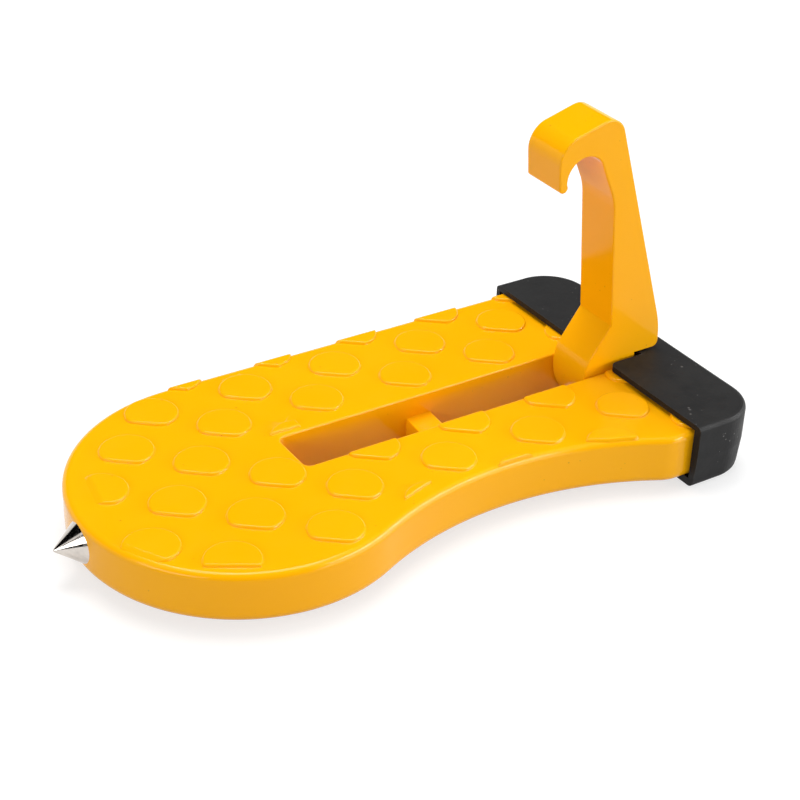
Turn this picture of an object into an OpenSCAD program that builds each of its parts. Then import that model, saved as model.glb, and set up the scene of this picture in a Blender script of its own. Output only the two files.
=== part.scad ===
// Car door latch step: a cast pedal that hangs from a door's latch striker by a folding hook.
// X runs from the steel tip to the rubber end, Y across the pedal, Z up from the floor.

/* [Pedal] */
// Thickness of the cast plate
pedal_t = 12; // [10:0.5:16]
// Radius of the round end, half the width of the plate
round_r = 38.4; // [34:0.2:44]
// From the round end's centre to the rear face
pedal_run = 111; // [104:1:130]
// Radius of the hollow waist on the near side
waist_r = 80; // [60:1:100]
// From the round end's centre to the middle of the waist
waist_x = 50; // [46:1:56]
// How much narrower the near side is behind the waist
heel_cut = 0.8; // [0:0.1:2.5]
// Rounding of the two rear corners in plan
rear_corner_r = 9; // [5:1:14]
// Rounding of the top edge
top_edge_r = 1.6; // [0.6:0.2:2.4]
// Rounding of the bottom edge
bottom_edge_r = 2.4; // [0.6:0.2:3.6]

/* [Slot] */
// Width of the slot between its walls
slot_w = 13; // [12.6:0.2:14]
// From the round end's centre to the front end of the slot
slot_x = 12.5; // [8:0.5:20]
// The slot's middle line lies this far to the far side
slot_shift = 0.5; // [-2:0.1:2]
// Rounding of the slot's front corners
slot_corner_r = 1.8; // [0.5:0.1:3]
// From the slot's front end to the cross web
web_from_front = 34; // [26:1:40]
// Length of the cross web along the slot
web_l = 6.8; // [4:0.2:10]
// Depth of the web's top below the plate's top, at the slot walls
web_drop = 5.4; // [4:0.2:6.4]
// How much deeper the web's hollow top is at its middle
web_dip = 0.6; // [0.3:0.1:1.2]

/* [Tread dots] */
// Diameter of a dot at its foot
dot_d = 12; // [9:0.2:14]
// Height of a dot
dot_h = 0.7; // [0.4:0.1:0.8]
// Width of the sloping rim of a dot
dot_rim = 0.3; // [0.2:0.1:0.4]
// From dot to dot along a row
dot_pitch = 23.4; // [20:0.2:28]
// From row to row
row_pitch = 11.7; // [10:0.1:14]
// The rows are turned by this many degrees
row_turn = -2.25; // [-4:0.25:4]
// How far each row slips to the rear against the one before
row_slip = 0.35; // [-1:0.05:1]
// The first dot of the first row, from the round end's centre along X
field_x = -7.7; // [-12:0.1:0]
// The first row, from the pedal's middle line along Y
field_y = 41.4; // [36:0.1:44]
// Plain margin along the edge of the plate
tread_margin = 0.8; // [0.5:0.1:2]
// Plain margin along the slot
slot_margin = 1.3; // [1:0.1:3]

/* [Hook arm] */
// Thickness of the arm
arm_t = 12.2; // [11:0.1:12.2]
// Height of the hook's top above the plate
hook_h = 64.8; // [56:0.2:76]
// Radius of the throat that takes the striker bar
throat_r = 5.05; // [4.5:0.05:6]
// Height of the throat's centre below the hook's top
throat_drop = 12.6; // [12:0.1:14]
// From the pivot forward to the throat's centre
throat_fwd = 14; // [12:0.1:15]
// Thickness of the hook's nose at its lower end
nose_t = 2.3; // [2:0.1:3]
// How far the nose reaches below the throat's centre
nose_drop = 2.4; // [1:0.1:4]
// How much the front bulges forward of the nose
nose_bulge = 0.4; // [0:0.1:1]
// How much lower the hook's front is than its top
hook_slope = 2; // [1:0.1:3]
// Radius of the hook's outer front
hook_front_r = 6.2; // [6:0.1:6.6]
// Radius of the hook's upper rear corner
hook_back_r = 4.6; // [3:0.1:6]
// From the pivot forward to that corner's centre
crown_fwd = 8.5; // [7:0.1:9]
// Lean of the throat's rear wall
mouth_lean = 24; // [18:1:30]
// Lean of the arm's front edge
front_lean = 4.8; // [3:0.2:8]
// Rounding between the two
knee_r = 15; // [6:1:20]
// From the pivot back to the rear face of the heel
heel_back = 12.6; // [10:0.2:14]
// Radius of the long curve from the back edge to the heel
heel_curve_r = 25; // [15:1:35]
// Rounding of the heel's lower corner
heel_r = 1.6; // [0.8:0.1:2.4]
// From the pivot forward to the foot's front
foot_fwd = 9.4; // [8:0.1:10]
// Radius of the foot's rounded front
foot_front_r = 12.3; // [10:0.1:16]
// Depth of the centre of that rounding below the plate's top
foot_round_drop = 1.4; // [0.6:0.2:2.4]
// Height above the plate where the foot's front turns into the slanted edge
bevel_h = 3.8; // [2:0.2:5]
// Radius of the foot around the pin
foot_r = 5.7; // [5.2:0.1:5.8]
// Height of the bend in the front edge above the plate
bend_h = 12; // [8:0.2:16]
// From the pivot forward to the bend
bend_fwd = 2.5; // [1:0.1:4]

/* [Hinge] */
// Diameter of the hinge pin
pin_d = 5; // [4:0.1:5.4]
// From the slot's front end to the pivot
pivot_from_front = 84.8; // [80:0.2:86]
// Radial running clearance of the arm on the pin
pin_clear = 0.05; // [0.03:0.01:0.1]
// How far the pin reaches into the far rail
pin_grip = 16; // [10:1:22]
// How far the pin's near end lies below the side face
pin_sink = 0.6; // [0.2:0.1:2]

/* [Rubber boot] */
// Thickness of the boot under the plate
boot_floor = 1.9; // [1.2:0.1:3]
// Wall on the far side
boot_wall = 1.3; // [1.2:0.1:3]
// Thickness of the end wall
boot_end = 2.8; // [2:0.1:6]
// Thickness of the boot's top
boot_top = 1.4; // [1:0.1:2.4]
// Free space between the plate and the boot
boot_clear = 0.2; // [0.1:0.05:0.4]
// From the rear face of the plate forward to the lip
boot_cover = 16.4; // [16:0.2:18]
// Rounding of the boot's rear corners in plan
boot_corner_r = 11; // [6:1:16]
// Free space between the dots and the boot's top
dot_clear = 0.2; // [0.1:0.05:0.5]
// How much wider than the slot the notch is on each side
notch_side = 0.5; // [0.2:0.1:2]
// Free space behind the arm's foot in the notch
notch_clear = 1.5; // [0.8:0.1:3]
// Rounding of the notch's corners at the lip
notch_corner_r = 2; // [0.5:0.1:4]
// Rounding of the boot's top edge
boot_top_r = 1.2; // [0.4:0.1:1.2]
// Rounding of the boot's bottom edge
boot_low_r = 1.6; // [0.6:0.1:1.8]
// How much the boot's wall draws in towards the bottom
boot_draft = 0.5; // [0:0.1:0.6]

/* [Hammer tip] */
// Diameter of the cone's base
tip_d = 9.8; // [7:0.2:10.4]
// Length of the cone
tip_l = 6.6; // [5:0.2:12]
// Diameter of the shank
shank_d = 6; // [4:0.2:7]
// Length of the shank
shank_l = 14; // [8:1:20]
// Diameter of the cone's blunted point
tip_point_d = 0.6; // [0.4:0.1:1.2]
// Free space round the cone's base
tip_clear = 0.3; // [0.1:0.05:0.5]
// Depth of the flat seat at the round end's foremost point
tip_seat = 0.5; // [0.4:0.1:1]

/* [Hidden] */
casting = [0.98, 0.70, 0.10];
steel = [0.72, 0.73, 0.75];
rubber = [0.12, 0.12, 0.13];
arc_step = 5;
edge_steps = 4;
over = 1;
dot_sink = 0.5;
nose_lap = 0.1;

top_z = boot_floor + pedal_t;
mid_z = boot_floor + pedal_t / 2;
heel_y = round_r - heel_cut;
waist_y = -sqrt(pow(round_r + waist_r, 2) - waist_x * waist_x);
waist_a = atan2(waist_y, waist_x);

pivot_x = slot_x + pivot_from_front;
slot_end = pivot_x + foot_r + 0.6;
pin_r = pin_d / 2;
pin_near = -heel_y + pin_sink;
pin_far = slot_shift + slot_w / 2 + pin_grip;

boot_half = round_r + boot_clear + boot_wall;
boot_lip = pedal_run - boot_cover;
boot_back = pedal_run + boot_clear + boot_end;
boot_roof = top_z + dot_h + dot_clear;
boot_h = boot_roof + boot_top;
heel_z = boot_h + 0.3;

seat_x = -round_r + tip_seat;
apex_x = seat_x - tip_l;
mid_x = (apex_x + boot_back) / 2;

// Points of an arc round a centre, from one angle to another
function arc(cx, cy, r, from, to) =
    let (n = max(2, ceil(abs(to - from) / arc_step)))
    [for (i = [0:n]) let (a = from + (to - from) * i / n) [cx + r * cos(a), cy + r * sin(a)]];

// Outline of the boot, square at its lip, drawn in by a distance
function boot_plan(d) = concat(
    [[boot_lip, boot_half - d]], [[boot_lip, -boot_half + d]],
    arc(boot_back - boot_corner_r, -boot_half + boot_corner_r, boot_corner_r - d, 270, 360),
    arc(boot_back - boot_corner_r, boot_half - boot_corner_r, boot_corner_r - d, 0, 90));

// Height and inset of each ring round an edge, from the wall to the flat
function edge_ring(z, r, up) =
    [for (i = [0:edge_steps]) let (a = 90 * i / edge_steps) [z + up * (r * sin(a) - r), r - r * cos(a)]];
function turned(list) = [for (i = [len(list) - 1:-1:0]) list[i]];

// A closed skin through outlines that lie one above the other
module skin(outlines, heights) {
    n = len(outlines[0]);
    m = len(outlines);
    points = [for (k = [0:m - 1]) for (p = outlines[k]) [p[0], p[1], heights[k]]];
    sides = [for (k = [0:m - 2]) for (i = [0:n - 1])
        let (j = (i + 1) % n) [k * n + i, (k + 1) * n + i, (k + 1) * n + j, k * n + j]];
    floor_face = [for (i = [0:n - 1]) i];
    roof_face = [for (i = [n - 1:-1:0]) (m - 1) * n + i];
    polyhedron(points = points, faces = concat(sides, [floor_face], [roof_face]), convexity = 6);
}

// Places a piece drawn from the round end's centre
module placed() {
    translate([-mid_x, 0, 0]) children();
}

// Section of the plate from its middle out to a rounded edge
function rim(out) = concat(
    [[0, top_z], [0, boot_floor]],
    arc(out - bottom_edge_r, boot_floor + bottom_edge_r, bottom_edge_r, -90, 0),
    arc(out - top_edge_r, top_z - top_edge_r, top_edge_r, 0, 90));

// Section of the waist's cutter: a rim turned inside out
function hollow(out) = concat(
    [[0, top_z + over], [0, boot_floor - over], [out + bottom_edge_r, boot_floor - over]],
    arc(out + bottom_edge_r, boot_floor + bottom_edge_r, bottom_edge_r, 270, 180),
    arc(out + top_edge_r, top_z - top_edge_r, top_edge_r, 180, 90),
    [[out + top_edge_r, top_z + over]]);

// A straight bar with the section of a rim, along X
module bar(out, side) {
    rotate([90, 0, 90]) linear_extrude(pedal_run - rear_corner_r)
        polygon([for (p = rim(out)) [side * p[0], p[1]]]);
}

// Near half of the plate: a bar behind the waist's first touch, with the waist turned out
module near_half() {
    reach = 2 * round_r;
    difference() {
        bar(heel_y, -1);
        linear_extrude(2 * top_z) polygon([
            [0, 0], [reach * cos(waist_a), reach * sin(waist_a)], [-reach, -reach], [-reach, 0]]);
        translate([waist_x, waist_y, 0]) rotate_extrude($fn = 240) polygon(hollow(waist_r));
    }
}

module plate() {
    rotate([0, 0, 90]) rotate_extrude(angle = 270 + waist_a, $fn = 120) polygon(rim(round_r));
    bar(round_r, 1);
    near_half();
    translate([0, 0, boot_floor]) linear_extrude(pedal_t) polygon(concat(
        arc(pedal_run - rear_corner_r, rear_corner_r - heel_y, rear_corner_r, 270, 360),
        arc(pedal_run - rear_corner_r, round_r - rear_corner_r, rear_corner_r, 0, 90)));
}

// Slot in plan, grown by a distance, with rounded front corners and a square rear end
module slot_plan(grow) {
    y0 = slot_shift - slot_w / 2 - grow;
    y1 = slot_shift + slot_w / 2 + grow;
    r = slot_corner_r + grow;
    x0 = slot_x - grow;
    polygon(concat(
        arc(x0 + r, y0 + r, r, 270, 180),
        arc(x0 + r, y1 - r, r, 180, 90),
        [[slot_end + grow, y1], [slot_end + grow, y0]]));
}

module slot_cut() {
    translate([0, 0, boot_floor - over]) linear_extrude(pedal_t + dot_h + 2 * over) slot_plan(0);
}

// Cross web: a bar over the slot's floor, with a hollow top
module web() {
    x0 = slot_x + web_from_front;
    half = slot_w / 2;
    hollow_r = (half * half + web_dip * web_dip) / (2 * web_dip);
    difference() {
        translate([x0, slot_shift - half - over, boot_floor])
            cube([web_l, slot_w + 2 * over, pedal_t - web_drop]);
        translate([x0 - over, slot_shift, top_z - web_drop - web_dip + hollow_r])
            rotate([0, 90, 0]) cylinder(r = hollow_r, h = web_l + 2 * over, $fn = 96);
    }
}

// Place of a dot: whole columns on odd rows, half columns on even ones
function dot_at(row, col) =
    let (along = (col + (row % 2 == 0 ? 0.5 : 0)) * dot_pitch, across = row * row_pitch)
    [field_x + along * cos(row_turn) + row * row_slip, field_y + along * sin(row_turn) - across];

// A dot, its foot sunk into the plate so that it also stands on the rounded edge
module dot() {
    translate([0, 0, -dot_sink]) cylinder(d = dot_d, h = dot_sink + dot_h - dot_rim, $fn = 48);
    translate([0, 0, dot_h - dot_rim]) cylinder(d1 = dot_d, d2 = dot_d - 2 * dot_rim, h = dot_rim, $fn = 48);
}

// Ground that may carry dots: inside the plate's edge and clear of the slot
module tread_ground() {
    difference() {
        union() {
            circle(r = round_r - tread_margin, $fn = 120);
            translate([0, tread_margin - heel_y]) square([pedal_run - rear_corner_r, heel_y + round_r - 2 * tread_margin]);
        }
        translate([waist_x, waist_y]) circle(r = waist_r + tread_margin, $fn = 240);
        slot_plan(slot_margin);
    }
}

// Tread: staggered rows of dots, cut at the plate's edge and at the slot
module tread() {
    rows = floor(2 * round_r / row_pitch);
    cols = ceil(pedal_run / dot_pitch);
    intersection() {
        translate([0, 0, top_z - dot_sink]) linear_extrude(dot_sink + dot_h + over) tread_ground();
        union() for (row = [0:rows]) for (col = [-2:cols]) {
            p = dot_at(row, col);
            beside_slot = abs(p[1] - slot_shift) < slot_w / 2 && p[0] > slot_x + dot_d;
            on_plate = p[0] < pedal_run - rear_corner_r && (p[0] > 0 || norm(p) < round_r + dot_d / 4);
            if (on_plate && !beside_slot) translate([p[0], p[1], top_z]) dot();
        }
    }
}

module pedal() {
    color(casting) placed() difference() {
        union() {
            difference() {
                union() {
                    plate();
                    tread();
                }
                slot_cut();
            }
            web();
        }
        translate([pivot_x, -round_r - over, mid_z])
            rotate([-90, 0, 0]) cylinder(r = pin_r, h = pin_far + round_r + over, $fn = 48);
        translate([-round_r - over, 0, mid_z])
            rotate([0, 90, 0]) cylinder(d = tip_d + 2 * tip_clear, h = tip_seat + over, $fn = 48);
        translate([-round_r - over, 0, mid_z])
            rotate([0, 90, 0]) cylinder(d = shank_d, h = tip_seat + over + shank_l + 1, $fn = 48);
    }
}

// Normal of the line that touches two circles from outside, going clockwise
function touch(c1, r1, c2, r2) =
    let (d = c1 - c2) (atan2(d[1], d[0]) - acos((r2 - r1) / norm(d)) + 360) % 360;

// Side view of the arm, from the pivot along X and from the plate's top along Z
throat = [-throat_fwd, hook_h - throat_drop];
nose_r = nose_t / 2;
nose_v = throat[1] - nose_drop + nose_r;
nose = [throat[0] - sqrt(pow(throat_r + nose_r - nose_lap, 2) - pow(throat[1] - nose_v, 2)), nose_v];
brow = [nose[0] - nose_r - nose_bulge + hook_front_r, hook_h - hook_front_r - hook_slope];
crown = [-crown_fwd, hook_h - hook_back_r];
heel_low = heel_z - top_z;
heel_round = [heel_back - heel_curve_r, heel_low + heel_r + 0.3];
foot_round = [foot_front_r - foot_fwd, -foot_round_drop];
pivot_v = mid_z - top_z;
foot_low = pivot_v - foot_r;
nose_a = touch(nose, nose_r, brow, hook_front_r);
brow_a = touch(brow, hook_front_r, crown, hook_back_r);
crown_a = touch(crown, hook_back_r, heel_round, heel_curve_r);
bevel_a = 180 - asin((bevel_h - foot_round[1]) / foot_front_r);
foot_a = 180 + asin((foot_round[1] - foot_low) / foot_front_r);
mouth = throat + (throat_r - nose_lap) * [cos(mouth_lean), sin(mouth_lean)];
bend = [-bend_fwd, bend_h];
front_run = ((mouth[1] - bend[1]) * sin(front_lean) + (mouth[0] - bend[0]) * cos(front_lean))
    / sin(mouth_lean - front_lean);
knee = mouth - front_run * [sin(mouth_lean), -cos(mouth_lean)];
knee_a = (mouth_lean + front_lean) / 2;
knee_at = knee - knee_r / cos((mouth_lean - front_lean) / 2) * [cos(knee_a), sin(knee_a)];

module arm_side() {
    difference() {
        polygon(concat(
            arc(nose[0], nose[1], nose_r, 371, nose_a),
            arc(brow[0], brow[1], hook_front_r, nose_a, brow_a),
            arc(crown[0], crown[1], hook_back_r, brow_a, crown_a),
            arc(heel_round[0], heel_round[1], heel_curve_r, crown_a, 0),
            arc(heel_back - heel_r, heel_low + heel_r, heel_r, 0, -90),
            [[foot_r, heel_low]],
            arc(0, pivot_v, foot_r, 0, -90),
            arc(foot_round[0], foot_round[1], foot_front_r, foot_a, bevel_a),
            [bend],
            arc(knee_at[0], knee_at[1], knee_r, front_lean, mouth_lean),
            [mouth, throat]));
        translate(throat) circle(r = throat_r, $fn = 96);
        translate([0, pivot_v]) circle(r = pin_r + pin_clear, $fn = 64);
    }
}

module hook_arm() {
    color(casting) placed() translate([pivot_x, slot_shift + arm_t / 2, top_z])
        rotate([90, 0, 0]) linear_extrude(arm_t) arm_side();
}

module hinge_pin() {
    color(steel) placed() translate([pivot_x, pin_near, mid_z])
        rotate([-90, 0, 0]) cylinder(r = pin_r, h = pin_far - pin_near, $fn = 48);
}

// Notch through the boot for the arm, its lip corners rounded
module notch() {
    half = slot_w / 2 + notch_side;
    r = notch_corner_r;
    rear = pivot_x + foot_r + notch_clear;
    translate([0, slot_shift, -over]) linear_extrude(boot_h + 2 * over) polygon(concat(
        [[boot_lip - over, -half - r]],
        arc(boot_lip + r, -half - r, r, 180, 90),
        [[rear, -half], [rear, half]],
        arc(boot_lip + r, half + r, r, 270, 180),
        [[boot_lip - over, half + r]]));
}

// Room for the plate inside the boot
module boot_room() {
    y0 = -heel_y - boot_clear;
    y1 = round_r + boot_clear;
    x1 = pedal_run + boot_clear;
    r = rear_corner_r;
    translate([0, 0, boot_floor]) linear_extrude(boot_roof - boot_floor) polygon(concat(
        [[boot_lip - over, y0]],
        arc(x1 - r, y0 + r, r, 270, 360),
        arc(x1 - r, y1 - r, r, 0, 90),
        [[boot_lip - over, y1]]));
}

module rubber_boot() {
    low = edge_ring(0, boot_low_r, -1);
    rings = concat(
        turned([for (p = low) [p[0], p[1] + boot_draft]]),
        [[mid_z, 0]],
        edge_ring(boot_h, boot_top_r, 1));
    color(rubber) placed() difference() {
        skin([for (p = rings) boot_plan(p[1])], [for (p = rings) p[0]]);
        boot_room();
        notch();
    }
}

module hammer_tip() {
    color(steel) placed() translate([seat_x, 0, mid_z]) rotate([0, -90, 0]) {
        cylinder(d1 = tip_d, d2 = tip_point_d, h = tip_l, $fn = 64);
        translate([0, 0, -shank_l]) cylinder(d = shank_d, h = shank_l, $fn = 48);
    }
}

pedal();
hook_arm();
hinge_pin();
rubber_boot();
hammer_tip();
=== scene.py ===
# %% [markdown]
# # A car door latch step
# The object is a cast foot pedal in the outline of a shoe sole. A folding hook hangs it on the latch
# striker of an open car door, so that a person can step up and reach the roof. A rubber boot rests against
# the car, and a steel cone in the round end breaks glass in an emergency.
#
# This lesson loads the exact construction model first, then dresses it: finer meshes for the castings and
# the turned tip, layered materials, a bright studio and the camera of the photo.

import math

import bpy
import numpy as np
from mathutils import Matrix, Quaternion, Vector
from mathutils.geometry import delaunay_2d_cdt


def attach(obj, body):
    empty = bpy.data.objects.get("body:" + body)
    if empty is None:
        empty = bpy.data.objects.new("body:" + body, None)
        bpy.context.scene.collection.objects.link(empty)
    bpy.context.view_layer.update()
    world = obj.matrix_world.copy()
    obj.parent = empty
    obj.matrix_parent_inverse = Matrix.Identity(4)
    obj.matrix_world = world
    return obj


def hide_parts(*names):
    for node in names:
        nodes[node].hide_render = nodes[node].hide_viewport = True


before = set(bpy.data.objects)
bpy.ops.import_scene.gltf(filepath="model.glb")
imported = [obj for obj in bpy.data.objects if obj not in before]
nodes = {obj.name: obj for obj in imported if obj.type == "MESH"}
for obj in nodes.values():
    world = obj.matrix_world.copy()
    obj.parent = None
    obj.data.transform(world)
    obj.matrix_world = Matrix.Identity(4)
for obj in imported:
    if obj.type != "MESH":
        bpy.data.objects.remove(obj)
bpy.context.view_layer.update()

# %% [markdown]
# ## Sizes that the shapes share
# Everything is worked out in millimetres from the centre of the round end, because the plate's arcs are
# simple there. One helper moves a shape to the row frame, whose origin lies under the middle of the whole
# part. Heights of the plate are LOW and TOP. The arm's drawing counts its heights from TOP instead, so its
# pivot lies at -6.

# %% Sizes in millimetres
MM = 0.001
MID_X = 34.75
LOW, TOP = 1.9, 13.9
ROUND_R, RUN, HEEL_Y = 38.4, 111.0, 37.6
WAIST_R, WAIST_X = 80.0, 50.0
WAIST_Y = -math.sqrt((ROUND_R + WAIST_R) ** 2 - WAIST_X ** 2)
SLOT_X, SLOT_END, SLOT_Y, SLOT_HALF = 12.5, 103.6, 0.5, 6.5
UPPER_ROUND, LOWER_ROUND, SLOT_ROUND = 1.6, 2.4, 0.55
PIVOT_X, PIVOT_V = 97.3, -6.0


def row(points):
    """Points in mm from the round end's centre, moved to the row frame in metres."""
    p = np.asarray(points, float).reshape(-1, 3)
    return (p - [MID_X, 0, 0]) * MM


def arc(cx, cy, r, start, end, n):
    """n + 1 points on an arc, angles in degrees."""
    a = np.radians(np.linspace(start, end, n + 1))
    return np.stack([cx + r * np.cos(a), cy + r * np.sin(a)], 1)


print("waist centre:", round(WAIST_Y, 2), "mm")

# %% [markdown]
# ## Mesh helpers
# A casting has no sharp edge: the powder coat rounds every corner, and those small roundings catch the
# light. So each wall is a stack of outlines, one a little further in than the other. Flat faces are filled
# by a constrained triangulation, which can leave holes. Normals are then weighted by face area, so that the
# large faces stay flat and only the roundings shade as curves.

# %% A mesh builder
class Shape:
    """Collects points and faces of one piece, in millimetres."""

    def __init__(self):
        self.points, self.faces = [], []

    def add(self, points):
        """Adds points and returns their numbers."""
        start = len(self.points)
        self.points.extend(map(tuple, points))
        return list(range(start, len(self.points)))

    def band(self, lower, upper):
        """Quads between two closed rings of point numbers."""
        n = len(lower)
        self.faces += [(lower[i], lower[(i + 1) % n], upper[(i + 1) % n], upper[i]) for i in range(n)]

    def stack(self, outlines, heights):
        """Rings above each other, joined by bands; returns the first and the last ring."""
        rings = [self.add(np.column_stack([o, np.full(len(o), h)])) for o, h in zip(outlines, heights)]
        for lower, upper in zip(rings, rings[1:]):
            self.band(lower, upper)
        return rings[0], rings[-1]

    def fill(self, outer, holes=(), up=True):
        """Triangles on a flat face between an outer ring and its holes, all rings of point numbers."""
        ids = [i for ring in (outer, *holes) for i in ring]
        flat = [Vector(self.points[i][:2]) for i in ids]
        edges, start = [], 0
        for ring in (outer, *holes):
            edges += [(start + k, start + (k + 1) % len(ring)) for k in range(len(ring))]
            start += len(ring)
        made = delaunay_2d_cdt(flat, edges, [], 0, 1e-7)
        back = [ids[source[0]] for source in made[3]]
        xy = np.array(made[0])
        tris = np.array(made[2])
        mid = xy[tris].mean(1)
        keep = inside(mid, [self.points[i][:2] for i in outer])
        for ring in holes:
            keep &= ~inside(mid, [self.points[i][:2] for i in ring])
        for a, b, c in tris[keep]:
            ccw = np.cross(xy[b] - xy[a], xy[c] - xy[a]) > 0
            self.faces.append(tuple(back[k] for k in ((a, b, c) if ccw == up else (a, c, b))))

    def build(self, name, body, *replaced):
        """Makes the object, puts it on its body and lets it stand for the replaced nodes."""
        mesh = bpy.data.meshes.new(name)
        mesh.from_pydata(row(self.points).tolist(), [], self.faces)
        mesh.validate()
        mesh.shade_smooth()
        obj = bpy.data.objects.new(name, mesh)
        bpy.context.scene.collection.objects.link(obj)
        soften(obj)
        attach(obj, body)
        if replaced:
            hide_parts(*replaced)
        print(name, "-", len(mesh.polygons), "faces")
        return obj


def inside(points, loop):
    """Which points lie inside a closed loop."""
    p, q = np.asarray(points, float), np.asarray(loop, float)
    hit = np.zeros(len(p), bool)
    for (x1, y1), (x2, y2) in zip(q, np.roll(q, -1, 0)):
        crosses = (y1 > p[:, 1]) != (y2 > p[:, 1])
        if y1 != y2:
            hit ^= crosses & (p[:, 0] < (x2 - x1) * (p[:, 1] - y1) / (y2 - y1) + x1)
    return hit


SHARP_ANGLE = math.radians(38.0)


def soften(obj, weight=90):
    """Sharp edges by angle, then normals weighted by area."""
    obj.data.set_sharp_from_angle(angle=SHARP_ANGLE)
    mod = obj.modifiers.new("weighted normals", "WEIGHTED_NORMAL")
    mod.keep_sharp = True
    mod.weight = weight


print("faces that meet at more than", round(math.degrees(SHARP_ANGLE)), "degrees stay sharp")

# %% [markdown]
# ## The cast pedal
# On the real part this is one die casting. Its outline is a half circle, a straight far side, and a near
# side that swings in as a waist and out again. The same outline drawn at several insets gives the wall, the
# generous rounding above and the one below.

# %% Outline of the plate
WAIST_A = math.degrees(math.atan2(WAIST_Y, WAIST_X))
FLARE_R = 9.0
FLARE_Y = -HEEL_Y + FLARE_R
FLARE_X = WAIST_X + math.sqrt((WAIST_R + FLARE_R) ** 2 - (FLARE_Y - WAIST_Y) ** 2)
FLARE_A = math.degrees(math.atan2(FLARE_Y - WAIST_Y, FLARE_X - WAIST_X))
REAR_R = 9.0


def sole(d):
    """The plate's outline, d millimetres inside."""
    return np.vstack([
        arc(RUN - REAR_R, ROUND_R - REAR_R, REAR_R - d, 0, 90, 8)[:-1],
        np.column_stack([np.linspace(RUN - REAR_R, 0, 40), np.full(40, ROUND_R - d)])[:-1],
        arc(0, 0, ROUND_R - d, 90, 360 + WAIST_A, 110)[:-1],
        arc(WAIST_X, WAIST_Y, WAIST_R + d, 180 + WAIST_A, FLARE_A, 60)[:-1],
        arc(FLARE_X, FLARE_Y, FLARE_R - d, 180 + FLARE_A, 270, 8)[:-1],
        arc(RUN - REAR_R, -HEEL_Y + REAR_R, REAR_R - d, 270, 360, 8)])


def slot(g):
    """The slot's outline, g millimetres outside, in the same turning sense."""
    r, x0 = 1.7 + g, SLOT_X - g
    y0, y1, x1 = SLOT_Y - SLOT_HALF - g, SLOT_Y + SLOT_HALF + g, SLOT_END + g
    return np.vstack([
        arc(x0 + r, y1 - r, r, 90, 180, 8), arc(x0 + r, y0 + r, r, 180, 270, 8),
        np.column_stack([np.linspace(x0 + r, x1, 30)[1:], np.full(29, y0)]),
        np.column_stack([np.linspace(x1, x0 + r, 30)[:-1], np.full(29, y1)])])


def rounding(r, n=6):
    """Insets and depths of a quarter circle, from the wall to the flat."""
    a = np.radians(np.linspace(0, 90, n + 1))
    return list(zip(r - r * np.cos(a), r - r * np.sin(a)))


print("outline points:", len(sole(0)), "slot points:", len(slot(0)))

# %% [markdown]
# ## The tread dots
# Round dots, two thirds of a millimetre high, stand in staggered rows that are turned by two degrees
# against the slot. Each has one flat side, the same on all of them, which shows as a straight line in the
# photo. The mould cuts the dots off at the plate's edge and at the slot. A dot is drawn from rays that
# leave its middle and stop at the first limit they meet, so the same code makes whole dots and cut ones.

# %% Where the dots stand
DOT_R, DOT_H, DOT_FOOT, DOT_SINK = 6.15, 0.68, 0.15, 0.6
DOT_PITCH, ROW_PITCH, ROW_SHIFT = 23.4, 11.69, 0.358
FIRST_X, FIRST_Y = -7.66, 41.48
FLAT_A, FLAT_AT, CORNER = math.radians(-128.5), 4.72, 14.0
ROW_TURN = math.radians(-2.26)
EDGE_FREE, SLOT_FREE = 0.8, 0.35
# Straight cuts of single dots, by line and column: two points, and how far the cut leans in per mm of height
CUTS = {
    (3, -1): [((-30.6, 14.8), (-32.6, 2.3), 1.5)],
    (5, -1): [((-34.27, -14.32), (-30.3, -21.26), 1.3)],
    (6, -1): [((-22.77, -27.71), (-13.79, -32.91), 0.0)],
    (6, 1): [((24.47, -27.34), (31.46, -25.11), 0.0)],
    (6, 3): [((71.33, -28.44), (78.84, -32.35), 0.0)],
    (3, 1): [((14.0, 8.55), (18.6, 8.6), 0.0), ((19.3, 8.0), (19.3, 12.0), 0.0)]}


def dot_place(line, col):
    """Centre of a dot; every other line is shifted by half a pitch."""
    along = (col + (0 if line % 2 else 0.5)) * DOT_PITCH
    return np.array([FIRST_X + along * math.cos(ROW_TURN) + ROW_SHIFT * line,
                     FIRST_Y + along * math.sin(ROW_TURN) - ROW_PITCH * line])


def first_stop(start, rays, loop):
    """Length of each ray from the start to the nearest side of a loop."""
    a, b = loop, np.roll(loop, -1, 0)
    e, w = b - a, a - start
    cross = rays[:, None, 0] * e[None, :, 1] - rays[:, None, 1] * e[None, :, 0]
    cross = np.where(np.abs(cross) < 1e-12, 1e-12, cross)
    t = (w[None, :, 0] * e[None, :, 1] - w[None, :, 1] * e[None, :, 0]) / cross
    s = (w[None, :, 0] * rays[:, None, 1] - w[None, :, 1] * rays[:, None, 0]) / cross
    return np.where((t > 1e-9) & (s >= 0) & (s <= 1), t, 1e9).min(1)


def cut_box(cut, d):
    """A large rectangle whose first side is the cut, moved in by d."""
    p, q = map(np.array, cut[:2])
    along = (q - p) / np.linalg.norm(q - p)
    into = np.array([-along[1], along[0]])
    p, q = p - 60 * along + d * into, q + 60 * along + d * into
    return np.array([p, q, q + 99 * into, p + 99 * into])


print("first dot at", dot_place(0, 0).round(2), "mm; dots with a cut of their own:", len(CUTS))

# %% [markdown]
# In each direction, a dot ends at the nearest of its limits: the round rim, the flat side, the plate's edge,
# the slot and its own cuts. The flat side meets the rim in soft corners, as cast ones do.

# %% One dot's outline, and the middle its rays leave from
def dot_limits(key, d, h):
    """Closed limits of a dot, all drawn in by d; a cut can lean inwards with the height h."""
    cuts = [cut_box(cut, d + cut[2] * h) for cut in CUTS.get(key, ())]
    return [sole(EDGE_FREE + d), slot(SLOT_FREE + d), *cuts]


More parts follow.
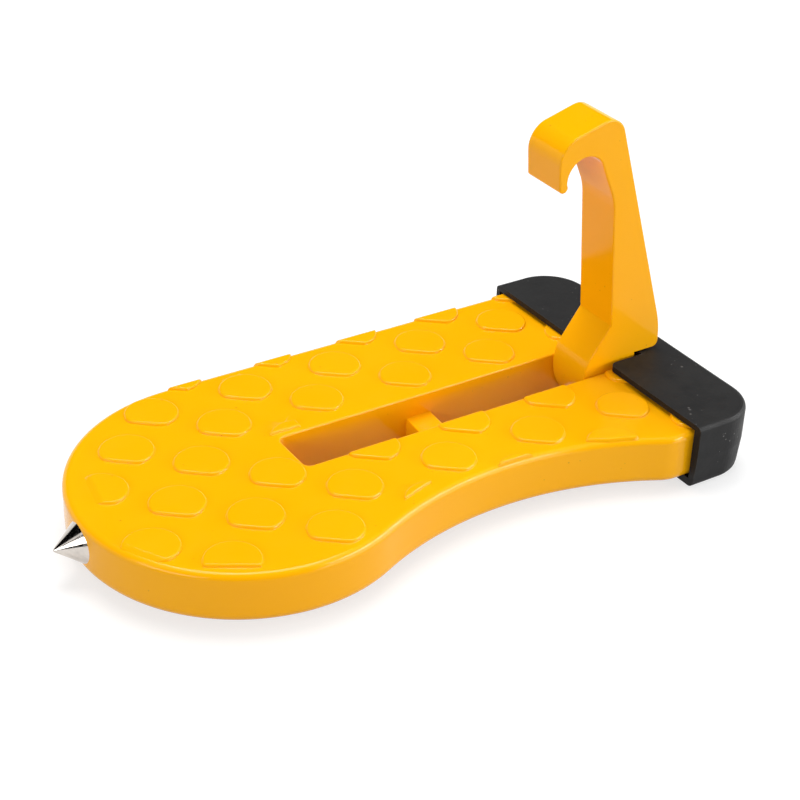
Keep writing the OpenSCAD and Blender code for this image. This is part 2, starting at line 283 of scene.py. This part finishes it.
def dot_middle(key, centre):
    """Mean of the ground that the dot really covers, and the share of the full disc."""
    g = np.stack(np.meshgrid(np.linspace(-1, 1, 41), np.linspace(-1, 1, 41)), -1).reshape(-1, 2)
    g = g[np.hypot(*g.T) < 1] * DOT_R + centre
    outer, hole, *cut = dot_limits(key, 0.3, 0.3)
    keep = inside(g, outer) & ~inside(g, hole)
    for limit in cut:
        keep &= inside(g, limit)
    return (g[keep].mean(0) if keep.any() else centre), keep.mean()


def dot_ring(key, centre, middle, d, h, n=96):
    """The dot's outline at the height h, drawn in by d, with soft corners where its flat side ends."""
    a = np.linspace(0, 2 * math.pi, n, endpoint=False)
    rays = np.stack([np.cos(a), np.sin(a)], 1)
    off = middle - centre
    along = rays @ off
    disc = -along + np.sqrt(np.maximum(along ** 2 - off @ off + (DOT_R - d) ** 2, 1e-6))
    facing = np.array([math.cos(FLAT_A), math.sin(FLAT_A)])
    flat = (FLAT_AT - d - off @ facing) / np.maximum(rays @ facing, 1e-3)
    flat = np.where(flat > 0.05, flat, 0.05)
    reach = (disc ** -CORNER + flat ** -CORNER) ** (-1 / CORNER)
    for limit in dot_limits(key, d, h):
        reach = np.minimum(reach, first_stop(middle, rays, limit))
    return middle + rays * np.maximum(reach, 0.02)[:, None]


whole = dot_ring((2, 1), dot_place(2, 1), dot_place(2, 1), 0.0, 0.0)
print("a whole dot measures", np.ptp(whole, axis=0).round(2), "mm along X and Y")

# %% [markdown]
# ## Putting the casting together
# The outer wall, the slot's wall, both flats and every dot go into one mesh, as they are one casting. A dot
# that lies wholly on the flat is cut out of it and joined on, and one that reaches the rounded edge is sunk
# into the plate instead. The cross web in the slot is a bar with a hollow top, where a finger can push the
# folded hook out.

# %% Walls, flats and dots in one mesh
cast = Shape()
below = [(inset, LOW + depth) for inset, depth in rounding(LOWER_ROUND)][::-1]
above = [(inset, TOP - depth) for inset, depth in rounding(UPPER_ROUND)]
wall = below + [(0.0, LOW + 5.0)] + above
outer_low, outer_top = cast.stack([sole(i) for i, _ in wall], [z for _, z in wall])
slot_edge = [(i, TOP - z) for i, z in rounding(SLOT_ROUND, 4)]
slot_rings = slot_edge[::-1] + [(0.0, 8.0), (0.0, LOW + 0.4), (0.3, LOW)]
slot_top, slot_low = cast.stack([slot(g) for g, _ in slot_rings], [z for _, z in slot_rings])
# How far in and how high the rings of a dot's side lie
DOT_SIDE = [(-0.05, 0.04), (0.0, 0.12), (0.02, 0.28), (0.08, 0.42), (0.18, 0.54), (0.33, 0.63), (0.5, DOT_H)]
ON_FLAT, THIN, LEAST_SHARE, BESIDE_SLOT = 0.05, 1.3, 0.06, 24.0
rims, dots = [], 0
for line in range(7):
    for col in range(-1, 5):
        centre = dot_place(line, col)
        if abs(centre[1] - SLOT_Y) < SLOT_HALF and centre[0] > BESIDE_SLOT:
            continue
        middle, share = dot_middle((line, col), centre)
        if share < LEAST_SHARE:
            continue
        foot_line = dot_ring((line, col), centre, middle, -DOT_FOOT, 0.0)
        on_flat = (inside(foot_line, sole(UPPER_ROUND + ON_FLAT)).all()
                   and not inside(foot_line, slot(SLOT_ROUND + ON_FLAT)).any())
        thin = min(1.0, np.linalg.norm(foot_line - middle, axis=1).min() / THIN)
        steps = [(-DOT_FOOT, 0.0 if on_flat else -DOT_SINK)] + [(d * thin, h) for d, h in DOT_SIDE]
        foot, cap = cast.stack([dot_ring((line, col), centre, middle, d, h) for d, h in steps],
                               [TOP + h for _, h in steps])
        cast.faces.append(tuple(cap))
        dots += 1
        if on_flat:
            rims.append(foot)
cast.fill(outer_top, [slot_top, *rims])
cast.fill(outer_low, [slot_low], up=False)
print("dots:", dots, "of which on the flat:", len(rims))

# %% The cross web and the finished casting
WEB_X0, WEB_X1, WEB_TOP, WEB_DIP, WEB_SUNK, LIP = 46.5, 53.3, TOP - 5.4, 0.6, 0.3, 0.35
across = np.linspace(-SLOT_HALF - WEB_SUNK, SLOT_HALF + WEB_SUNK, 17)
crest = WEB_TOP - WEB_DIP * (1 - (across / SLOT_HALF) ** 2)
# Each step of the web's side view: X, a fixed height or None for the crest, and what is added to the crest
profile = [(WEB_X0, LOW, 0.0), (WEB_X0, None, -LIP), (WEB_X0 + 0.1, None, -0.12), (WEB_X0 + LIP, None, 0.0),
           (WEB_X1 - LIP, None, 0.0), (WEB_X1 - 0.1, None, -0.12), (WEB_X1, None, -LIP), (WEB_X1, LOW, 0.0)]
rows = [cast.add([(x, SLOT_Y + y, z if z is not None else c + dz) for y, c in zip(across, crest)])
        for x, z, dz in profile]
for a, b in zip(rows, rows[1:] + rows[:1]):
    cast.faces += [(a[i], a[i + 1], b[i + 1], b[i]) for i in range(len(a) - 1)]
pedal = cast.build("pedal_casting", "pedal_body", "pedal")

# %% [markdown]
# ## The hook arm
# A flat casting with a downward hook, a long straight back, a heel that stops against the boot, and a
# rounded foot in the slot. It is drawn once as a side view, clockwise, from the touching lines of a few
# circles. In the drawing, the first number runs along the pedal from the pivot and the second is the height
# over the plate.

# %% Side view of the arm
def touch(c1, r1, c2, r2):
    """Angle of the outer touching line's normal between two circles, clockwise."""
    d = np.subtract(c1, c2)
    return (math.degrees(math.atan2(d[1], d[0]) - math.acos((r2 - r1) / np.hypot(*d)))) % 360


THROAT_R, NOSE_R, BROW_R, CROWN_R, KNEE_R = 5.05, 1.15, 6.2, 4.6, 15.0
BACK_R, HEEL_R, EYE_R, FOOT_R = 25.0, 1.6, 5.7, 12.3
BOOT_TOP, HEEL_GAP, HEEL_REACH, FOOT_LOW, FOOT_BEVEL = 16.2, 0.3, 12.6, -11.7, 5.2
MOUTH_A, FRONT_A, MOUTH_R = 24.0, 4.8, 4.95
throat, nose_drop, nose_lap, brow_out = (-14.0, 52.2), 2.4, 0.1, 0.4
nose_v = throat[1] - nose_drop + NOSE_R
nose = (throat[0] - math.sqrt((THROAT_R + NOSE_R - nose_lap) ** 2 - (throat[1] - nose_v) ** 2), nose_v)
brow, crown = (nose[0] - NOSE_R - brow_out + BROW_R, 56.6), (-8.5, 60.2)
heel_low = BOOT_TOP + HEEL_GAP - TOP
heel_round, foot_round = (HEEL_REACH - BACK_R, heel_low + 1.9), (2.9, -1.4)
nose_a = touch(nose, NOSE_R, brow, BROW_R)
brow_a = touch(brow, BROW_R, crown, CROWN_R)
crown_a = touch(crown, CROWN_R, heel_round, BACK_R)
bevel_a = 180 - math.degrees(math.asin(FOOT_BEVEL / FOOT_R))
foot_a = 180 + math.degrees(math.asin((foot_round[1] - FOOT_LOW) / FOOT_R))
m, f = math.radians(MOUTH_A), math.radians(FRONT_A)
mouth = (throat[0] + MOUTH_R * math.cos(m), throat[1] + MOUTH_R * math.sin(m))
bend = (-2.5, 12.0)
run = ((mouth[1] - bend[1]) * math.sin(f) + (mouth[0] - bend[0]) * math.cos(f)) / math.sin(m - f)
knee = (mouth[0] - run * math.sin(m), mouth[1] + run * math.cos(m))
knee_mid = math.radians((MOUTH_A + FRONT_A) / 2)
knee_r = KNEE_R / math.cos(math.radians((MOUTH_A - FRONT_A) / 2))
knee_at = (knee[0] - knee_r * math.cos(knee_mid), knee[1] - knee_r * math.sin(knee_mid))
print("knee of the front edge:", [round(v, 2) for v in knee])

# %% The arm's outline
throat_end = math.degrees(math.atan2(nose[1] - throat[1], nose[0] - throat[0])) % 360
arm_side = np.vstack([
    arc(*nose, NOSE_R, 363, nose_a, 10)[:-1],
    arc(*brow, BROW_R, nose_a, brow_a, 12)[:-1],
    arc(*crown, CROWN_R, brow_a, crown_a, 12),
    arc(*heel_round, BACK_R, crown_a, 0, 6)[:-1],
    arc(HEEL_REACH - HEEL_R, heel_low + HEEL_R, HEEL_R, 0, -90, 6),
    [(EYE_R, heel_low)],
    arc(0, PIVOT_V, EYE_R, 0, -90, 10)[:-1],
    arc(*foot_round, FOOT_R, foot_a, bevel_a, 12),
    [bend],
    arc(*knee_at, KNEE_R, FRONT_A, MOUTH_A, 5)[:-1],
    [mouth],
    arc(*throat, THROAT_R, MOUTH_A, throat_end, 26)[1:-1]])
print("arm outline:", len(arm_side), "points")


def drawn_in(loop, d):
    """A clockwise outline moved inwards by d along the mean of its sides' normals."""
    e1, e2 = loop - np.roll(loop, 1, 0), np.roll(loop, -1, 0) - loop
    n1 = np.stack([e1[:, 1], -e1[:, 0]], 1) / np.linalg.norm(e1, axis=1)[:, None]
    n2 = np.stack([e2[:, 1], -e2[:, 0]], 1) / np.linalg.norm(e2, axis=1)[:, None]
    mean = n1 + n2
    mean /= np.linalg.norm(mean, axis=1)[:, None]
    return loop + d * mean / np.maximum((mean * n1).sum(1), 0.6)[:, None]


# %% [markdown]
# The side view becomes a plate 12.2 mm thick whose edges are rounded by only a third of a millimetre, as on
# the real casting, where the coat softens the tool's edge. The plate is built lying down and then stood up.

# %% The arm as a mesh
ARM_HALF, ARM_ROUND = 6.1, 0.35
arm = Shape()
edge = rounding(ARM_ROUND, 4)
steps = [(i, -ARM_HALF + z) for i, z in edge[::-1]] + [(i, ARM_HALF - z) for i, z in edge]
first, last = arm.stack([drawn_in(arm_side, i) for i, _ in steps], [z for _, z in steps])
arm.fill(first, up=False)
arm.fill(last)
arm.points = [(PIVOT_X + u, SLOT_Y - w, TOP + v) for u, v, w in arm.points]
hook = arm.build("hook_arm_casting", "hook", "hook_arm")

# %% [markdown]
# ## The turned steel tip
# The cone is turned on a lathe, so its mesh is a profile spun round its axis: a small land at the base, the
# cone with fine tool rings, and a blunted point.

# %% A spun profile
def spin(name, body, profile, start, axis, n, *replaced):
    """Spins (distance, radius) pairs round an axis that leaves the start point."""
    lathe = Shape()
    a = np.linspace(0, 2 * math.pi, n, endpoint=False)
    side = Vector(axis).orthogonal().normalized()
    other = Vector(axis).cross(side)
    circle = np.outer(np.cos(a), side) + np.outer(np.sin(a), other)
    rings = [lathe.add(np.add(start, np.multiply(axis, d)) + r * circle) for d, r in profile]
    for lower, upper in zip(rings, rings[1:]):
        lathe.band(lower, upper)
    lathe.faces += [tuple(rings[0][::-1]), tuple(rings[-1])]
    return lathe.build(name, body, *replaced)


TIP_X, TIP_Z, TIP_L, TIP_R, BLUNT_R = -37.9, 8.2, 6.1, 4.9, 0.3
SHANK_L, SHANK_R, GROOVE, GROOVES = 14.0, 3.0, 0.012, 33
cone = [(-SHANK_L, SHANK_R - 0.1), (-SHANK_L, SHANK_R), (-0.35, SHANK_R), (-0.35, 4.55), (-0.3, 4.75),
        (0.0, 4.88)]
for k in range(1, GROOVES):
    t = k / GROOVES
    cone.append((t * TIP_L * 0.985, TIP_R + (BLUNT_R - TIP_R) * t - (GROOVE if k % 2 else 0.0)))
cone += [(TIP_L * 0.992, 0.22), (TIP_L - 0.01, 0.1)]
tip = spin("steel_tip", "pedal_body", cone, (TIP_X, 0.0, TIP_Z), (-1, 0, 0), 96, "hammer_tip")

# %% [markdown]
# ## The rubber boot
# The boot is a moulded sleeve. Its skin already has large roundings in the construction model, so here that
# mesh stays, and a bevel modifier adds the soft lip that moulded rubber has. The hinge pin gets a finer
# bevel.

# %% Soft edges on the boot
boot = nodes["rubber_boot"]
for node, width in (("rubber_boot", 0.35), ("hinge_pin", 0.15)):
    obj = nodes[node]
    obj.data.shade_smooth()
    obj.data.set_sharp_from_angle(angle=SHARP_ANGLE)
    bevel = obj.modifiers.new("soft edge", "BEVEL")
    bevel.width = width * MM
    bevel.segments = 3
    bevel.limit_method = "ANGLE"
    bevel.angle_limit = SHARP_ANGLE
    weigh = obj.modifiers.new("weighted normals", "WEIGHTED_NORMAL")
    weigh.keep_sharp = True
    print(node, "edge", width, "mm")

# %% [markdown]
# ## Shared surface effects
# Each effect is a small shader group that hands out only a value or a normal, so that several materials can
# use it: a fine orange peel, settled dust, and a patchy mask of edges and creases, which shows rubbed rubber
# on the boot and is painted shade on the coat.

# %% Helpers for shader groups
def group(name, inputs, outputs):
    """A new shader group with named float inputs and typed outputs, and its two ends."""
    tree = bpy.data.node_groups.new(name, "ShaderNodeTree")
    for label, value in inputs:
        socket = tree.interface.new_socket(label, in_out="INPUT", socket_type="NodeSocketFloat")
        socket.default_value = value
    for label, kind in outputs:
        tree.interface.new_socket(label, in_out="OUTPUT", socket_type=kind)
    return tree, tree.nodes.new("NodeGroupInput"), tree.nodes.new("NodeGroupOutput")


def add(tree, kind, values=None, **settings):
    """A node with its settings, and constants set on its sockets."""
    node = tree.nodes.new(kind)
    for key, value in settings.items():
        setattr(node, key, value)
    for key, value in (values or {}).items():
        node.inputs[key].default_value = value
    return node


def noise(tree, scale, detail=3.0, rough=0.5):
    """Noise in object space, where one unit is a metre."""
    place = add(tree, "ShaderNodeTexCoord")
    texture = add(tree, "ShaderNodeTexNoise", {"Scale": scale, "Detail": detail, "Roughness": rough})
    tree.links.new(place.outputs["Object"], texture.inputs["Vector"])
    return texture.outputs["Fac"]


def spread(tree, source, low, high, to_low=0.0, to_high=1.0):
    """Maps a range to another, clamped."""
    limits = {"From Min": low, "From Max": high, "To Min": to_low, "To Max": to_high}
    node = add(tree, "ShaderNodeMapRange", limits)
    tree.links.new(source, node.inputs["Value"])
    return node.outputs["Result"]


print("helpers: group, add, noise and spread")

# %% [markdown]
# The edge mask compares the surface's normal with one that is rounded over a small width. The dust is round
# specks in a cell pattern, gathered by a slow noise. The orange peel is two bumps, a fine one and a broad
# one.

# %% Edge mask, dust and orange peel
# Edge mask: on the rubber it marks rubbed edges, on the coat it places painted shade along edges and creases.
tree, ends_in, ends_out = group("edge wear and painted shade", [("Width", 0.0006)], [("Mask", "NodeSocketFloat")])
bevel = add(tree, "ShaderNodeBevel", samples=4)
geometry = add(tree, "ShaderNodeNewGeometry")
turn = add(tree, "ShaderNodeVectorMath", operation="DOT_PRODUCT")
tree.links.new(ends_in.outputs["Width"], bevel.inputs["Radius"])
tree.links.new(bevel.outputs["Normal"], turn.inputs[0])
tree.links.new(geometry.outputs["Normal"], turn.inputs[1])
edge_value = spread(tree, turn.outputs["Value"], 0.995, 0.85)
patchy = add(tree, "ShaderNodeMath", operation="MULTIPLY")
tree.links.new(edge_value, patchy.inputs[0])
tree.links.new(spread(tree, noise(tree, 420.0), 0.42, 0.62), patchy.inputs[1])
tree.links.new(patchy.outputs[0], ends_out.inputs["Mask"])
edge_rub_and_shade = tree

tree, ends_in, ends_out = group("dust specks", [("Scale", 900.0), ("Share", 0.1)],
                                [("Mask", "NodeSocketFloat")])
place = add(tree, "ShaderNodeTexCoord")
cells = add(tree, "ShaderNodeTexVoronoi", {"Randomness": 1.0})
size = add(tree, "ShaderNodeMath", operation="MULTIPLY")
less = add(tree, "ShaderNodeMath", operation="LESS_THAN")
tree.links.new(place.outputs["Object"], cells.inputs["Vector"])
tree.links.new(ends_in.outputs["Scale"], cells.inputs["Scale"])
tree.links.new(spread(tree, noise(tree, 160.0, 2.0), 0.5, 0.75), size.inputs[0])
tree.links.new(ends_in.outputs["Share"], size.inputs[1])
tree.links.new(cells.outputs["Distance"], less.inputs[0])
tree.links.new(size.outputs[0], less.inputs[1])
tree.links.new(less.outputs[0], ends_out.inputs["Mask"])
dust_specks = tree

tree, ends_in, ends_out = group("orange peel", [("Strength", 0.2), ("Distance", 0.00004)],
                                [("Normal", "NodeSocketVector")])
fine = add(tree, "ShaderNodeBump")
broad = add(tree, "ShaderNodeBump", {"Distance": 0.0004, "Strength": 0.22})
for label in ("Strength", "Distance"):
    tree.links.new(ends_in.outputs[label], fine.inputs[label])
tree.links.new(noise(tree, 620.0, 2.0), fine.inputs["Height"])
tree.links.new(noise(tree, 90.0, 1.0), broad.inputs["Height"])
tree.links.new(fine.outputs["Normal"], broad.inputs["Normal"])
tree.links.new(broad.outputs["Normal"], ends_out.inputs["Normal"])
orange_peel = tree
print("groups:", [g.name for g in bpy.data.node_groups])

# %% [markdown]
# ## Materials
# Every material starts from one principled shader, takes its constants on the sockets and mixes its tones
# by masks. The helpers here keep each recipe short.

# %% A material with its principled shader
def material(name, **values):
    """A new material; values go on the sockets of its principled shader."""
    made = bpy.data.materials.new(name)
    made.use_nodes = True
    shader = made.node_tree.nodes["Principled BSDF"]
    for key, value in values.items():
        shader.inputs[key.replace("_", " ")].default_value = value
    return made, made.node_tree, shader


def use(tree, effect, **values):
    """One of the shared groups, placed in a material."""
    node = add(tree, "ShaderNodeGroup", node_tree=effect)
    for key, value in values.items():
        node.inputs[key].default_value = value
    return node


def blend(tree, mask, first, second):
    """Mixes two colours by a mask; a colour is a tuple or a socket."""
    node = add(tree, "ShaderNodeMix", data_type="RGBA")
    tree.links.new(mask, node.inputs["Factor"])
    for label, value in (("A", first), ("B", second)):
        socket = [s for s in node.inputs if s.name == label and s.type == "RGBA"][0]
        if isinstance(value, tuple):
            socket.default_value = value
        else:
            tree.links.new(value, socket)
    return [s for s in node.outputs if s.type == "RGBA"][0]


def wear(obj, coating):
    """Puts the one material on an object."""
    obj.data.materials.clear()
    obj.data.materials.append(coating)
    print(coating.name, "on", obj.name)


print("helpers: material, use, blend and wear")

# %% [markdown]
# ## Amber powder coat
# The casting is sprayed and baked, which leaves a warm, even yellow with a faint ripple and a soft shine. A
# slow change of tone, painted shade that deepens the edges and creases, and a few dark specks keep it from
# looking like plain plastic.

# %% The coat on the pedal and the arm
# The third amber is painted shade for edges and creases; the speck colour is dust.
AMBER, AMBER_LIGHT, AMBER_PAINTED_SHADE = (0.965, 0.43, 0.001, 1), (0.98, 0.45, 0.002, 1), (0.90, 0.37, 0.001, 1)
AMBER_SPECK = (0.25, 0.11, 0.01, 1)
coat, tree, shader = material("amber powder coat", IOR=1.5, Specular_IOR_Level=0.18)
slow = spread(tree, noise(tree, 28.0, 4.0), 0.35, 0.65)
tone = blend(tree, slow, AMBER, AMBER_LIGHT)
# Painted shade: edges and creases turn a deeper amber, which darkens the dots' rims.
rub_and_shade = use(tree, edge_rub_and_shade, Width=0.0005)
tone = blend(tree, spread(tree, rub_and_shade.outputs["Mask"], 0.0, 1.0, 0.0, 0.3), tone, AMBER_PAINTED_SHADE)
specks = use(tree, dust_specks, Scale=520.0, Share=0.16)
tone = blend(tree, spread(tree, specks.outputs["Mask"], 0.0, 1.0, 0.0, 0.3), tone, AMBER_SPECK)
tree.links.new(tone, shader.inputs["Base Color"])
tree.links.new(spread(tree, noise(tree, 240.0, 4.0), 0.3, 0.7, 0.1, 0.17), shader.inputs["Roughness"])
peel = use(tree, orange_peel, Strength=0.35)
tree.links.new(peel.outputs["Normal"], shader.inputs["Normal"])
for obj in (pedal, hook):
    wear(obj, coat)

# %% [markdown]
# ## Rubber and steel
# The rubber is nearly black, satin, and holds pale dust. The turned cone is bright steel, with fine rings
# round its axis that stretch its reflections; the hinge pin is the same steel, duller.

# %% The boot's rubber
RUBBER, RUBBER_LIGHT = (0.009, 0.009, 0.0095, 1), (0.015, 0.0148, 0.0145, 1)
RUBBER_DUST, RUBBER_EDGE = (0.16, 0.155, 0.15, 1), (0.045, 0.044, 0.043, 1)
rubber, tree, shader = material("satin rubber", IOR=1.5, Specular_IOR_Level=0.16)
slow = spread(tree, noise(tree, 60.0, 5.0), 0.35, 0.7)
tone = blend(tree, slow, RUBBER, RUBBER_LIGHT)
specks = use(tree, dust_specks, Scale=700.0, Share=0.22)
tone = blend(tree, spread(tree, specks.outputs["Mask"], 0.0, 1.0, 0.0, 0.5), tone, RUBBER_DUST)
rub_and_shade = use(tree, edge_rub_and_shade, Width=0.0008)
tone = blend(tree, spread(tree, rub_and_shade.outputs["Mask"], 0.0, 1.0, 0.0, 0.4), tone, RUBBER_EDGE)
tree.links.new(tone, shader.inputs["Base Color"])
tree.links.new(spread(tree, noise(tree, 300.0, 5.0), 0.3, 0.7, 0.42, 0.6), shader.inputs["Roughness"])
grain = use(tree, orange_peel, Strength=0.3)
tree.links.new(grain.outputs["Normal"], shader.inputs["Normal"])
wear(boot, rubber)


# %% The steel of the tip and the pin
def steel(name, rough, color):
    """Steel with fine rings along X, where the tip was turned."""
    made, tree, shader = material(name, Metallic=1.0)
    place = add(tree, "ShaderNodeTexCoord")
    waves = {"Scale": 900.0, "Distortion": 0.4, "Detail": 2.0}
    rings = add(tree, "ShaderNodeTexWave", waves, bands_direction="X")
    tree.links.new(place.outputs["Object"], rings.inputs["Vector"])
    bump = add(tree, "ShaderNodeBump", {"Strength": 0.06, "Distance": 0.00002})
    tree.links.new(rings.outputs["Fac"], bump.inputs["Height"])
    tree.links.new(bump.outputs["Normal"], shader.inputs["Normal"])
    darker = tuple(0.82 * c for c in color[:3]) + (1,)
    tone = blend(tree, spread(tree, noise(tree, 500.0, 4.0), 0.4, 0.7), color, darker)
    tree.links.new(tone, shader.inputs["Base Color"])
    patches = spread(tree, noise(tree, 700.0, 4.0), 0.3, 0.7, rough, rough + 0.1)
    tree.links.new(patches, shader.inputs["Roughness"])
    return made


wear(tip, steel("turned steel", 0.07, (0.65, 0.60, 0.55, 1)))
pin = nodes["hinge_pin"]
wear(pin, steel("pin steel", 0.32, (0.62, 0.61, 0.60, 1)))

# %% [markdown]
# ## Studio
# The photo is a cut-out on white. The world is white to the camera and in reflections, and the lamps lift the
# floor to white round the part. As lights both are weak, so that colours render as they are written and the
# floor keeps a faint shadow.

# %% Floor and world
scene = bpy.context.scene
scene.view_settings.view_transform = "Standard"


def white_backdrop(tree, low, high):
    """A strength that is high where the backdrop is seen, also in a reflection, and low as a light."""
    path = add(tree, "ShaderNodeLightPath")
    either = add(tree, "ShaderNodeMath", operation="MAXIMUM")
    seen = add(tree, "ShaderNodeMath", operation="MAXIMUM")
    tree.links.new(path.outputs["Is Camera Ray"], either.inputs[0])
    tree.links.new(path.outputs["Is Glossy Ray"], either.inputs[1])
    tree.links.new(either.outputs[0], seen.inputs[0])
    tree.links.new(path.outputs["Is Transmission Ray"], seen.inputs[1])
    return spread(tree, seen.outputs[0], 0.0, 1.0, low, high)


floor_mesh = bpy.data.meshes.new("studio floor")
HALF, BELOW = 3.0, 0.0004
floor_mesh.from_pydata([(-HALF, -HALF, 0), (HALF, -HALF, 0), (HALF, HALF, 0), (-HALF, HALF, 0)], [],
                       [(0, 1, 2, 3)])
floor = bpy.data.objects.new("studio floor", floor_mesh)
floor.location.z = -BELOW
scene.collection.objects.link(floor)
paper, tree, shader = material("white paper", Base_Color=(0.36, 0.36, 0.36, 1), Roughness=0.9,
                               Specular_IOR_Level=0.1, Emission_Color=(1, 1, 1, 1))
tree.links.new(white_backdrop(tree, 0.06, 0.68), shader.inputs["Emission Strength"])
floor.data.materials.append(paper)

world = bpy.data.worlds.new("studio world")
scene.world = world
world.use_nodes = True
back = world.node_tree.nodes["Background"]
back.inputs["Color"].default_value = (1, 1, 1, 1)
world.node_tree.links.new(white_backdrop(world.node_tree, 0.3, 1.0), back.inputs["Strength"])
print("floor at", floor.location.z, "m")

# %% [markdown]
# ## Lamps and flags
# Soft boxes above, on the right and on the left light the part evenly. A thin bright strip, seen by
# reflections alone, draws the white lines along the near edges and the small sparkles at the dots. A real
# studio hangs black flags where a glossy coat would mirror the white room, so that its colour stays deep.
# Here one stands behind and one in front, also for reflections alone; they darken half the steel cone.

# %% Lamps
def lamp(name, direction, distance, size, power, roll=0.0):
    """A rectangular area lamp, wide and high by size, rolled in degrees, that looks at the part's middle."""
    light = bpy.data.lights.new(name, "AREA")
    light.shape = "RECTANGLE"
    light.size, light.size_y = size
    light.energy = power
    obj = bpy.data.objects.new(name, light)
    aim = Vector((0.0, 0.0, 0.01))
    toward = Vector(direction).normalized()
    obj.location = aim + toward * distance
    turn = toward.to_track_quat("Z", "Y") @ Quaternion((0, 0, 1), math.radians(roll))
    obj.rotation_euler = turn.to_euler()
    scene.collection.objects.link(obj)
    return obj


lamp("overhead", (0.1, 0.25, 1.0), 0.75, (0.45, 0.45), 4.8)
lamp("right soft box", (0.683, -0.452, 0.574), 0.75, (0.7, 0.2), 0.9)
lamp("right fill", (0.8, -0.75, 0.16), 0.9, (1.2, 0.28), 5.8)
lamp("left fill", (-0.9, -0.3, 0.33), 0.6, (0.4, 0.18), 1.3)
# The strip is for reflections alone: it draws sparkles and adds no diffuse light
strip = lamp("sparkle strip", (0.683, -0.452, 0.574), 0.85, (0.85, 0.08), 6.5, roll=-14.0)
strip.visible_diffuse = False

# %% The black flags
BLACK = (0.004, 0.004, 0.004, 1)
cloth, _, _ = material("black cloth", Base_Color=BLACK, Roughness=1.0, Specular_IOR_Level=0.0)


def flag(name, azimuths, elevations, distance):
    """A curved black card for reflections alone, at angles in degrees from +X and from the floor."""
    a = np.radians(np.linspace(*azimuths, 25))
    e = np.radians(np.linspace(*elevations, 9))
    points = [(distance * math.cos(v) * math.cos(h), distance * math.cos(v) * math.sin(h),
               distance * math.sin(v)) for v in e for h in a]
    n = len(a)
    faces = [(j * n + i, j * n + i + 1, (j + 1) * n + i + 1, (j + 1) * n + i)
             for j in range(len(e) - 1) for i in range(n - 1)]
    mesh = bpy.data.meshes.new(name)
    mesh.from_pydata(points, [], faces)
    obj = bpy.data.objects.new(name, mesh)
    obj.visible_camera = obj.visible_diffuse = obj.visible_shadow = obj.visible_transmission = False
    mesh.materials.append(cloth)
    scene.collection.objects.link(obj)


flag("back flag", (22.0, 172.0), (18.0, 62.0), 1.1)
flag("front flag", (-176.0, -66.0), (0.0, 82.0), 1.2)

# %% [markdown]
# ## Camera
# The camera was worked out from the photo: the dots stand on a regular grid, so their places in the picture
# fix where it stood, its lens and its small tilt. It stands to the left of the round end and looks down at
# 31 degrees.

# %% The photo's camera
AZIMUTH, ELEVATION, TILT = -33.293, 31.405, 1.945
FOCAL_PIXELS, PICTURE, SENSOR = 1798.57, 800, 36.0
STAND = (-148.97, -287.71, 229.36)
az, el, roll = (math.radians(v) for v in (AZIMUTH, ELEVATION, TILT))
out = Vector((math.sin(az) * math.cos(el), -math.cos(az) * math.cos(el), math.sin(el)))
right = Vector((math.cos(az), math.sin(az), 0.0))
up = out.cross(right)
right, up = (right * math.cos(roll) + up * math.sin(roll), up * math.cos(roll) - right * math.sin(roll))
lens = bpy.data.cameras.new("photo camera")
lens.sensor_width, lens.lens = SENSOR, FOCAL_PIXELS / PICTURE * SENSOR
lens.clip_start, lens.clip_end = 0.01, 20.0
camera = bpy.data.objects.new("photo camera", lens)
pose = Matrix((right, up, out)).transposed().to_4x4()
pose.translation = Vector(row([STAND])[0])
camera.matrix_world = pose
scene.collection.objects.link(camera)
scene.camera = camera
print("camera at", [round(v, 4) for v in camera.location], "lens", round(lens.lens, 2), "mm")
